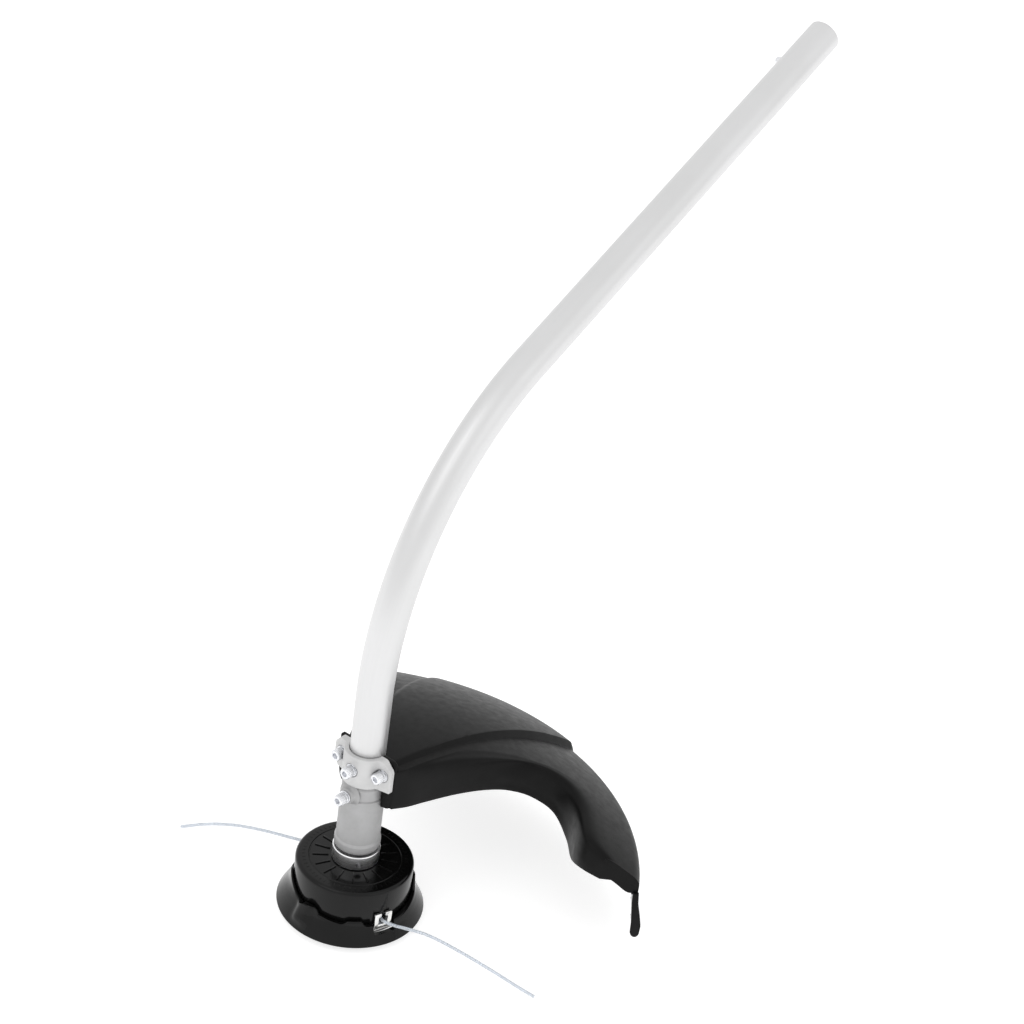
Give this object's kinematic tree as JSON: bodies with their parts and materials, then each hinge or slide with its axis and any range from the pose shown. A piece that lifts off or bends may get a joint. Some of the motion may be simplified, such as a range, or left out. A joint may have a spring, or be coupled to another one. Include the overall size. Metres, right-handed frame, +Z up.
{
  "type": "string trimmer attachment",
  "caption": "Curved-shaft string trimmer lower attachment: bent tube, bearing housing, clamp, grass guard with line cutter, and a bump-feed line head.",
  "frame": {"origin": "middle of the bump knob's flat bottom, on the ground", "axes": "+Z up along the cutting head's spindle; +X the way the shaft bends, towards the user; +Y to the user's right when facing the head"},
  "size_m": [0.5229, 0.3321, 0.5995],
  "materials": {
    "tube_aluminium": "drawn aluminium tube, satin anodised",
    "cast_grey": "die-cast, light grey, fine grain",
    "cast_light": "die-cast clamp, pale grey, smooth",
    "machined_steel": "turned steel",
    "collar_steel": "turned steel, bright",
    "spring_steel": "drawn spring steel",
    "cutter_steel": "stamped steel with a ground edge",
    "bright_zinc": "bright zinc plate",
    "eyelet_metal": "plated metal",
    "guard_plastic": "moulded, fine texture",
    "head_plastic": "moulded, glossy",
    "knob_plastic": "moulded, glossy",
    "inner_plastic": "moulded nylon",
    "liner_nylon": "extruded nylon sleeve",
    "liner_rubber": "thin rubber sleeve",
    "line_nylon": "translucent monofilament"
  },
  "bodies": {
    "frame": {"shaft_tube": "tube_aluminium", "upper_bushing": "inner_plastic", "flexible_drive_shaft": "spring_steel", "drive_shaft_liner": "liner_nylon", "liner_bushing": "inner_plastic", "button_leaf_spring": "spring_steel", "bearing_housing": "cast_grey", "bearing_lower": "machined_steel", "bearing_upper": "machined_steel", "bearing_circlip": "spring_steel", "saddle_bracket": "cast_light", "clamp_liner": "liner_rubber", "guard": "guard_plastic", "line_cutter": "cutter_steel", "line_cutter_screw_1": "bright_zinc", "line_cutter_screw_2": "bright_zinc", "ear_right_washer": "bright_zinc", "ear_right_spring_washer": "bright_zinc", "ear_right_screw": "bright_zinc", "ear_left_washer": "bright_zinc", "ear_left_spring_washer": "bright_zinc", "ear_left_screw": "bright_zinc", "locating_washer": "bright_zinc", "locating_spring_washer": "bright_zinc", "locating_screw": "bright_zinc", "housing_washer": "bright_zinc", "housing_spring_washer": "bright_zinc", "housing_screw": "bright_zinc", "ear_right_nut": "bright_zinc", "ear_left_nut": "bright_zinc"},
    "head": {"arbor": "machined_steel", "drive_end_lower": "machined_steel", "arbor_collar": "collar_steel", "head_housing": "head_plastic", "head_nut": "bright_zinc", "lower_cover": "head_plastic", "line_eyelet_right": "eyelet_metal", "line_eyelet_left": "eyelet_metal", "bump_spring": "spring_steel", "line_right": "line_nylon", "line_left": "line_nylon"},
    "knob": {"bump_knob": "knob_plastic"},
    "spool_set": {"spool": "inner_plastic", "wound_line": "line_nylon"},
    "drive_end": {"drive_end_upper": "machined_steel"},
    "button": {"detent_button": "bright_zinc"}
  },
  "joints": [
    {"name": "head_spin", "type": "hinge", "parent": "frame", "child": "head", "pos_m": [0, 0, 0.05], "axis": [0, 0, 1], "continuous": true},
    {"name": "drive_spin", "type": "hinge", "parent": "frame", "child": "drive_end", "pos_m": [0.41839, 0, 0.56415], "axis": [0.878, 0, 0.4787], "continuous": true},
    {"name": "bump_press", "type": "slide", "parent": "head", "child": "knob", "axis": [0, 0, 1], "range_m": [0, 0.005], "stiffness_N_per_m": 2500, "springref_m": -0.008, "deforming": ["bump_spring"]},
    {"name": "spool_feed", "type": "hinge", "parent": "knob", "child": "spool_set", "pos_m": [0, 0, 0.02], "axis": [0, 0, 1], "continuous": true},
    {"name": "button_press", "type": "slide", "parent": "frame", "child": "button", "axis": [0, -1, 0], "range_m": [0, 0.0046], "stiffness_N_per_m": 1500, "springref_m": -0.003, "deforming": ["button_leaf_spring"]}
  ],
  "couplings": [
    {"joint": "drive_spin", "follows": "head_spin", "ratio": 1}
  ]
}
